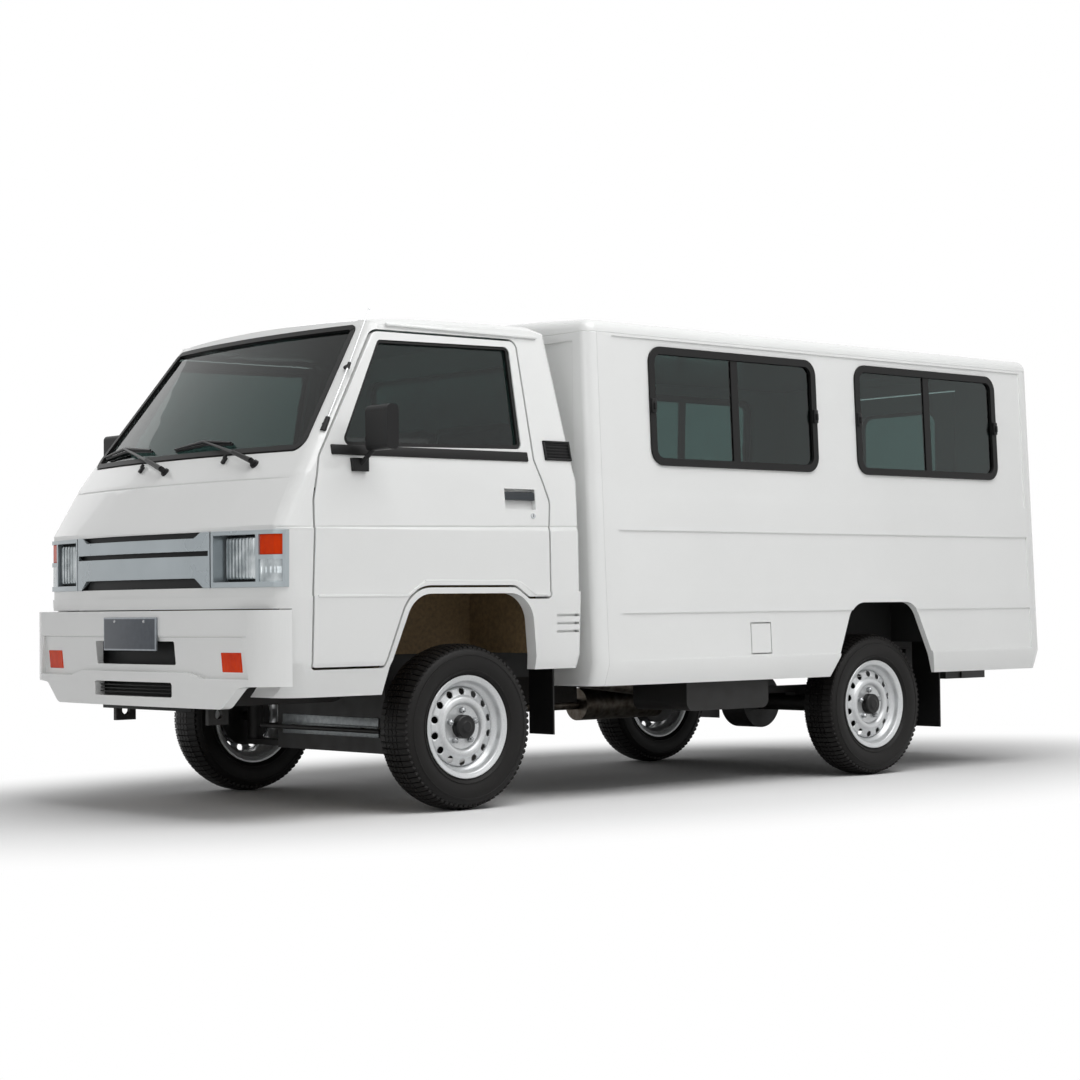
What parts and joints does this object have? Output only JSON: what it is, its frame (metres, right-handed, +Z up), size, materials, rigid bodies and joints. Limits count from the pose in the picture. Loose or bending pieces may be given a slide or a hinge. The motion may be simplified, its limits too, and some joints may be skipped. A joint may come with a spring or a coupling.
{
  "type": "commercial van with passenger box body",
  "caption": "Forward-control light commercial van: hollow steel cab with hinged doors and a separate windowed box body on a ladder frame, steered front wheels.",
  "frame": {"origin": "on the ground under the middle of the overall length and width", "axes": "+X forward, +Y to the van's left, +Z up"},
  "size_m": [4.775, 1.994, 1.9848],
  "materials": {
    "white_paint": "gloss white body paint",
    "black_paint": "satin black chassis paint",
    "silver_paint": "silver wheel paint",
    "silver_trim": "silver moulded trim",
    "engine_iron": "cast",
    "steel": "bare steel",
    "chrome": "bright chrome",
    "tyre": "matte black",
    "rubber": "matte black",
    "glass": "tinted",
    "lamp_clear": "clear",
    "lamp_amber": "amber lens",
    "lamp_red": "red lens",
    "black_plastic": "grained black",
    "grey_plastic": "grained grey",
    "seat_cloth": "woven",
    "floor_mat": "ribbed mat"
  },
  "bodies": {
    "chassis": {"chassis_frame": "black_paint", "engine": "engine_iron", "propeller_shaft": "steel", "rear_axle": "black_paint", "leaf_springs": "black_paint", "front_suspension": "black_paint", "fuel_tank": "black_paint", "exhaust": "steel", "front_bumper": "white_paint", "grille": "silver_trim", "headlamps": "lamp_clear", "amber_lamps": "lamp_amber", "cab_front_panel": "white_paint", "cab_side_left": "white_paint", "cab_side_right": "white_paint", "cab_roof": "white_paint", "cab_back_panel": "white_paint", "cab_floor": "floor_mat", "windshield": "glass", "cab_back_window": "glass", "dashboard": "grey_plastic", "steering_wheel": "black_plastic", "cab_seats": "seat_cloth", "mudflaps": "rubber", "box_floor": "floor_mat", "box_side_left": "white_paint", "box_side_right": "white_paint", "box_front_wall": "white_paint", "box_roof": "white_paint", "box_rear_frame": "white_paint", "box_window_glass": "glass", "box_window_seals": "rubber", "rear_step": "black_paint", "tail_lamps": "lamp_red"},
    "left_door": {"door_left": "white_paint", "door_glass_left": "glass", "mirror_left": "black_plastic", "door_handle_left": "chrome"},
    "right_door": {"door_right": "white_paint", "door_glass_right": "glass", "mirror_right": "black_plastic", "door_handle_right": "chrome"},
    "back_door": {"rear_door": "white_paint", "rear_door_glass": "glass"},
    "filler_flap": {"fuel_flap": "white_paint"},
    "left_knuckle": {"knuckle_left": "black_paint"},
    "right_knuckle": {"knuckle_right": "black_paint"},
    "front_left_wheel": {"wheel_front_left": "silver_paint", "tyre_front_left": "tyre"},
    "front_right_wheel": {"wheel_front_right": "silver_paint", "tyre_front_right": "tyre"},
    "rear_left_wheel": {"wheel_rear_left": "silver_paint", "tyre_rear_left": "tyre"},
    "rear_right_wheel": {"wheel_rear_right": "silver_paint", "tyre_rear_right": "tyre"}
  },
  "joints": [
    {"name": "left_door_hinge", "type": "hinge", "parent": "chassis", "child": "left_door", "pos_m": [2.0655, 0.80892, 1.2], "axis": [0, 0.025, -0.9997], "range_deg": [0, 68]},
    {"name": "right_door_hinge", "type": "hinge", "parent": "chassis", "child": "right_door", "pos_m": [2.0655, -0.80892, 1.2], "axis": [0, 0.025, 0.9997], "range_deg": [0, 68]},
    {"name": "back_door_hinge", "type": "hinge", "parent": "chassis", "child": "back_door", "pos_m": [-2.2265, 0.3765, 1.15], "axis": [0, 0, -1], "range_deg": [0, 100]},
    {"name": "filler_flap_hinge", "type": "hinge", "parent": "chassis", "child": "filler_flap", "pos_m": [-0.177, 0.8473, 0.6375], "axis": [0, 0, -1], "range_deg": [0, 100]},
    {"name": "left_steer", "type": "hinge", "parent": "chassis", "child": "left_knuckle", "pos_m": [1.3755, 0.64, 0.322], "axis": [0, 0, 1], "range_deg": [-34, 34]},
    {"name": "right_steer", "type": "hinge", "parent": "chassis", "child": "right_knuckle", "pos_m": [1.3755, -0.64, 0.322], "axis": [0, 0, 1], "range_deg": [-34, 34]},
    {"name": "front_left_spin", "type": "hinge", "parent": "left_knuckle", "child": "front_left_wheel", "pos_m": [1.3755, 0.724, 0.322], "axis": [0, 1, 0], "continuous": true},
    {"name": "front_right_spin", "type": "hinge", "parent": "right_knuckle", "child": "front_right_wheel", "pos_m": [1.3755, -0.724, 0.322], "axis": [0, 1, 0], "continuous": true},
    {"name": "rear_left_spin", "type": "hinge", "parent": "chassis", "child": "rear_left_wheel", "pos_m": [-1.0595, 0.702, 0.322], "axis": [0, 1, 0], "continuous": true},
    {"name": "rear_right_spin", "type": "hinge", "parent": "chassis", "child": "rear_right_wheel", "pos_m": [-1.0595, -0.702, 0.322], "axis": [0, 1, 0], "continuous": true}
  ],
  "couplings": [
    {"joint": "right_steer", "follows": "left_steer", "ratio": 1}
  ]
}
